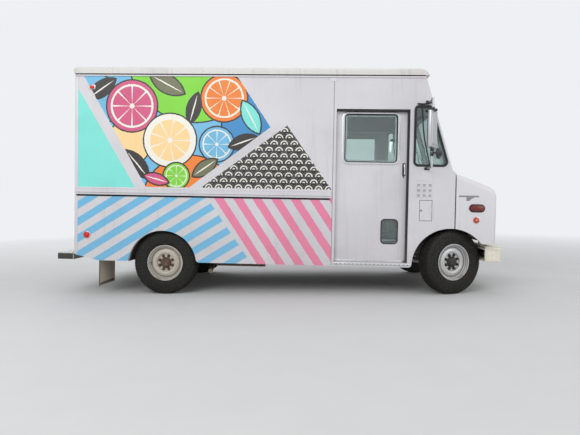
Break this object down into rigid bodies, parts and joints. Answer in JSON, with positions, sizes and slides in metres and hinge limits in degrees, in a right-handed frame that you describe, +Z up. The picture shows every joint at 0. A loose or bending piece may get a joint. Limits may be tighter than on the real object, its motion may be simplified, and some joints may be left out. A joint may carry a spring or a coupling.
{
  "type": "food truck",
  "caption": "Walk-in food truck with a flat-sided painted body, sliding cab doors, a tilting nose, twin rear doors and a lift-up serving hatch.",
  "frame": {"origin": "on the road under the middle of the vehicle's bounding box", "axes": "+X forwards, +Y to the vehicle's left, +Z up"},
  "size_m": [5.2696, 2.7076, 2.7321],
  "materials": {
    "body_paint": "matt sprayed colours over white",
    "roof_white": "chalky white",
    "nose_paint": "satin white",
    "frame_black": "dull black",
    "engine_iron": "oily",
    "bare_steel": "rust specks",
    "cream_paint": "worn cream",
    "glass": "lightly tinted",
    "rubber": "matt",
    "tyre": "dusty",
    "trim_black": "satin",
    "lamp_red": "ribbed lens",
    "grille_silver": "satin",
    "cab_vinyl": "worn vinyl",
    "steel_sheet": "brushed sheet",
    "floor_plate": "worn chequer plate"
  },
  "bodies": {
    "body": {"cab_front": "nose_paint", "cab_glass": "glass", "cooker": "steel_sheet", "cross_members": "frame_black", "dashboard": "trim_black", "door_rails": "bare_steel", "driver_seat": "cab_vinyl", "driveshaft": "frame_black", "engine_block": "engine_iron", "engine_cover": "trim_black", "exhaust": "bare_steel", "extract_hood": "steel_sheet", "floor": "floor_plate", "frame_rails": "frame_black", "front_axle": "frame_black", "front_bumper": "cream_paint", "fuel_tank": "frame_black", "kitchen_counters": "steel_sheet", "lamps": "lamp_red", "mirrors": "trim_black", "mud_flaps": "rubber", "radiator": "frame_black", "rear_axle": "frame_black", "rear_bumper": "bare_steel", "rear_frame": "body_paint", "roof": "roof_white", "side_wall_left": "body_paint", "side_wall_right": "body_paint", "steering_wheel": "trim_black"},
    "nose": {"nose_shell": "nose_paint", "grille": "grille_silver", "headlamps": "glass"},
    "sliding_door_right": {"sliding_door_right": "body_paint", "sliding_door_glass_right": "glass"},
    "sliding_door_left": {"sliding_door_left": "body_paint", "sliding_door_glass_left": "glass"},
    "rear_door_right": {"rear_door_right": "body_paint", "rear_door_glass_right": "glass"},
    "rear_door_left": {"rear_door_left": "body_paint", "rear_door_glass_left": "glass"},
    "serving_hatch": {"serving_hatch": "body_paint"},
    "tie_rod": {"tie_rod": "frame_black"},
    "fuel_door": {"fuel_door": "body_paint"},
    "knuckle_left": {"knuckle_left": "frame_black"},
    "front_wheel_left": {"wheel_front_left": "cream_paint", "tyre_front_left": "tyre"},
    "rear_wheel_left": {"wheel_rear_left": "cream_paint", "tyre_rear_left": "tyre"},
    "knuckle_right": {"knuckle_right": "frame_black"},
    "front_wheel_right": {"wheel_front_right": "cream_paint", "tyre_front_right": "tyre"},
    "rear_wheel_right": {"wheel_rear_right": "cream_paint", "tyre_rear_right": "tyre"}
  },
  "joints": [
    {"name": "fuel_door_swing", "type": "hinge", "parent": "body", "child": "fuel_door", "pos_m": [1.81748, -1.048, 0.9816], "axis": [0.0255, 0, 0.9997], "range_deg": [0, 120]},
    {"name": "nose_tilt", "type": "hinge", "parent": "body", "child": "nose", "pos_m": [2.5018, 0, 0.63205], "axis": [0, 1, 0], "range_deg": [0, 60]},
    {"name": "sliding_door_right_slide", "type": "slide", "parent": "body", "child": "sliding_door_right", "axis": [-0.9997, 0, 0.0255], "range_m": [0, 0.8]},
    {"name": "sliding_door_left_slide", "type": "slide", "parent": "body", "child": "sliding_door_left", "axis": [-0.9997, 0, 0.0255], "range_m": [0, 0.8]},
    {"name": "rear_door_right_swing", "type": "hinge", "parent": "body", "child": "rear_door_right", "pos_m": [-2.42088, -0.806, 1.52776], "axis": [0.0255, 0, 0.9997], "range_deg": [0, 170]},
    {"name": "rear_door_left_swing", "type": "hinge", "parent": "body", "child": "rear_door_left", "pos_m": [-2.42088, 0.806, 1.52776], "axis": [0.0255, 0, 0.9997], "range_deg": [-170, 0]},
    {"name": "serving_hatch_lift", "type": "hinge", "parent": "body", "child": "serving_hatch", "pos_m": [-1.04678, 1.054, 2.299], "axis": [0.9997, 0, -0.0255], "range_deg": [0, 95]},
    {"name": "steer_left", "type": "hinge", "parent": "body", "child": "knuckle_left", "pos_m": [2.03212, 0.848, 0.376], "axis": [0, 0, 1], "range_deg": [-57, 13]},
    {"name": "steer_right", "type": "hinge", "parent": "body", "child": "knuckle_right", "pos_m": [2.03212, -0.848, 0.376], "axis": [0, 0, 1], "range_deg": [-57, 13]},
    {"name": "tie_rod_pivot", "type": "hinge", "parent": "knuckle_left", "child": "tie_rod", "pos_m": [1.93941, 0.81054, 0.372], "axis": [0, 0, 1], "range_deg": [-13, 57]},
    {"name": "front_wheel_left_spin", "type": "hinge", "parent": "knuckle_left", "child": "front_wheel_left", "pos_m": [2.03212, 0.848, 0.376], "axis": [-0.3746, 0.9272, 0], "continuous": true},
    {"name": "rear_wheel_left_spin", "type": "hinge", "parent": "body", "child": "rear_wheel_left", "pos_m": [-1.34588, 0.8, 0.376], "axis": [0, 1, 0], "continuous": true},
    {"name": "front_wheel_right_spin", "type": "hinge", "parent": "knuckle_right", "child": "front_wheel_right", "pos_m": [2.03212, -0.848, 0.376], "axis": [-0.3746, 0.9272, 0], "continuous": true},
    {"name": "rear_wheel_right_spin", "type": "hinge", "parent": "body", "child": "rear_wheel_right", "pos_m": [-1.34588, -0.8, 0.376], "axis": [0, 1, 0], "continuous": true}
  ],
  "couplings": [
    {"joint": "steer_right", "follows": "steer_left", "ratio": 1},
    {"joint": "tie_rod_pivot", "follows": "steer_left", "ratio": -1}
  ]
}
